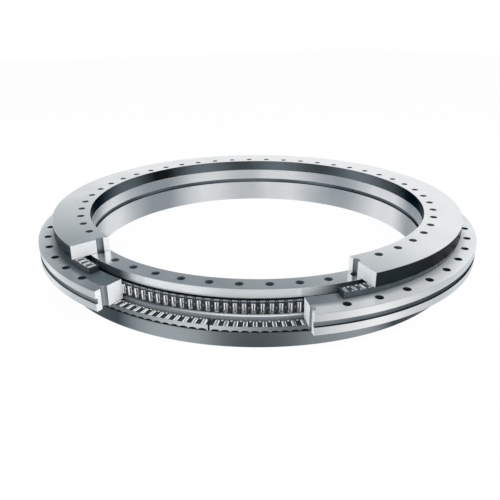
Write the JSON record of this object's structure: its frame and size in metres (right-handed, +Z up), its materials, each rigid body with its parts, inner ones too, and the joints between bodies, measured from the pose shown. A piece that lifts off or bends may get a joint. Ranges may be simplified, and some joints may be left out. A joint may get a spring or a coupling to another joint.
{
  "type": "turntable bearing",
  "caption": "Large flat three-row roller bearing for a turntable, cut open to show its roller rows: an L-shaped lower ring and an upper ring clamp round a drilled outer ring.",
  "frame": {"origin": "on the axis of rotation, in the plane of the bottom face", "axes": "+Z up along the axis of rotation; the cutaway is centred on the direction (-1, -1, 0), and bolt holes lie on +X and +Y"},
  "size_m": [0.75, 0.75, 0.09],
  "materials": {
    "lower_ring": "ground and turned",
    "upper_ring": "ground and turned",
    "outer_ring": "ground and turned",
    "flat_row": "dark cage with bright rollers",
    "upright_row": "dark cage with bright rollers"
  },
  "bodies": {
    "inner_ring": {"lower_ring": "lower_ring", "upper_ring": "upper_ring"},
    "outer_ring": {"outer_ring": "outer_ring"},
    "upper_cage": {"upper_cage_segment_01": "flat_row", "upper_cage_segment_02": "flat_row", "upper_cage_segment_03": "flat_row", "upper_cage_segment_04": "flat_row", "upper_cage_segment_05": "flat_row", "upper_cage_segment_06": "flat_row", "upper_cage_segment_07": "flat_row", "upper_cage_segment_08": "flat_row", "upper_cage_segment_09": "flat_row", "upper_cage_segment_10": "flat_row"},
    "lower_cage": {"lower_cage_segment_01": "flat_row", "lower_cage_segment_02": "flat_row", "lower_cage_segment_03": "flat_row", "lower_cage_segment_04": "flat_row", "lower_cage_segment_05": "flat_row", "lower_cage_segment_06": "flat_row", "lower_cage_segment_07": "flat_row", "lower_cage_segment_08": "flat_row", "lower_cage_segment_09": "flat_row", "lower_cage_segment_10": "flat_row", "lower_cage_segment_11": "flat_row", "lower_cage_segment_12": "flat_row"},
    "radial_cage": {"radial_cage_segment_1": "upright_row", "radial_cage_segment_2": "upright_row", "radial_cage_segment_3": "upright_row", "radial_cage_segment_4": "upright_row"}
  },
  "joints": [
    {"name": "outer_ring_turn", "type": "hinge", "parent": "inner_ring", "child": "outer_ring", "pos_m": [0, 0, 0.045], "axis": [0, 0, 1], "continuous": true},
    {"name": "upper_cage_turn", "type": "hinge", "parent": "inner_ring", "child": "upper_cage", "pos_m": [0, 0, 0.06465], "axis": [0, 0, 1], "continuous": true},
    {"name": "lower_cage_turn", "type": "hinge", "parent": "inner_ring", "child": "lower_cage", "pos_m": [0, 0, 0.02535], "axis": [0, 0, 1], "continuous": true},
    {"name": "radial_cage_turn", "type": "hinge", "parent": "inner_ring", "child": "radial_cage", "pos_m": [0, 0, 0.045], "axis": [0, 0, 1], "continuous": true}
  ],
  "couplings": [
    {"joint": "upper_cage_turn", "follows": "outer_ring_turn", "ratio": 0.5},
    {"joint": "lower_cage_turn", "follows": "outer_ring_turn", "ratio": 0.5},
    {"joint": "radial_cage_turn", "follows": "outer_ring_turn", "ratio": 0.50615}
  ]
}
